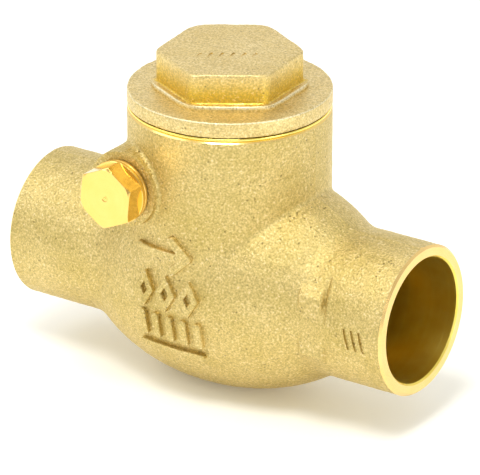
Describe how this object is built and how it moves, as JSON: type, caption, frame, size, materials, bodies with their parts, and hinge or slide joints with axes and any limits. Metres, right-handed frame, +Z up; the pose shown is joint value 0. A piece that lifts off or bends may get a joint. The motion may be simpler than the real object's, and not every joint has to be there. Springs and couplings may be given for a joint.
{
  "type": "check valve",
  "caption": "Cast brass swing check valve with solder cups at both ends, a screwed hexagon cap and a hinged disc inside that lets water through one way.",
  "frame": {"origin": "centre of the small flat foot under the belly, straight below the cap's axis", "axes": "+X along the pipe, from inlet to outlet; +Z up through the cap; the hinge pin's plug faces -Y"},
  "size_m": [0.0782, 0.0423, 0.0614],
  "materials": {
    "cast_brass": "sand cast, satin",
    "cap_brass": "sand cast, lightly brushed",
    "gasket_brass": "turned bright",
    "polished_brass": "turned and polished",
    "washer_brass": "stamped",
    "pin_steel": "ground stainless steel",
    "hanger_bronze": "cast bronze",
    "turned_brass": "turned",
    "seat_rubber": "black nitrile, matt",
    "clamp_washer_brass": "stamped",
    "clamp_nut_brass": "milled",
    "hanger_washer_brass": "stamped",
    "hanger_nut_brass": "milled"
  },
  "bodies": {
    "body": {"valve_body": "cast_brass"},
    "cap_thread": {"bonnet_gasket": "gasket_brass"},
    "cap": {"bonnet_cap": "cap_brass"},
    "plug_thread": {"plug_washer": "washer_brass"},
    "plug": {"hinge_pin_plug": "polished_brass"},
    "pin": {"hinge_pin": "pin_steel"},
    "hanger": {"disc_hanger": "hanger_bronze"},
    "disc": {"disc_holder": "turned_brass", "seat_disc": "seat_rubber", "seat_disc_washer": "clamp_washer_brass", "seat_disc_nut": "clamp_nut_brass", "hanger_washer": "hanger_washer_brass", "hanger_nut": "hanger_nut_brass"}
  },
  "joints": [
    {"name": "disc_swing", "type": "hinge", "parent": "body", "child": "hanger", "pos_m": [-0.00956, 0, 0.03933], "axis": [0, -1, 0], "range_deg": [0, 40]},
    {"name": "disc_spin", "type": "hinge", "parent": "hanger", "child": "disc", "pos_m": [-0.00654, 0, 0.0209], "axis": [0.866, 0, 0.5], "continuous": true},
    {"name": "pin_roll", "type": "hinge", "parent": "body", "child": "pin", "pos_m": [-0.00956, 0, 0.03933], "axis": [0, -1, 0], "continuous": true},
    {"name": "cap_lift", "type": "slide", "parent": "body", "child": "cap_thread", "axis": [0, 0, 1], "range_m": [0, 0.0075]},
    {"name": "cap_turn", "type": "hinge", "parent": "cap_thread", "child": "cap", "pos_m": [0, 0, 0.0604], "axis": [0, 0, 1], "range_deg": [0, 1810]},
    {"name": "plug_travel", "type": "slide", "parent": "body", "child": "plug_thread", "axis": [0, -1, 0], "range_m": [0, 0.005]},
    {"name": "plug_turn", "type": "hinge", "parent": "plug_thread", "child": "plug", "pos_m": [-0.00956, -0.02, 0.03933], "axis": [0, -1, 0], "range_deg": [0, 1810]}
  ],
  "couplings": [
    {"joint": "cap_turn", "follows": "cap_lift", "rad_per_m": 4188.8},
    {"joint": "plug_turn", "follows": "plug_travel", "rad_per_m": 6283.2}
  ]
}
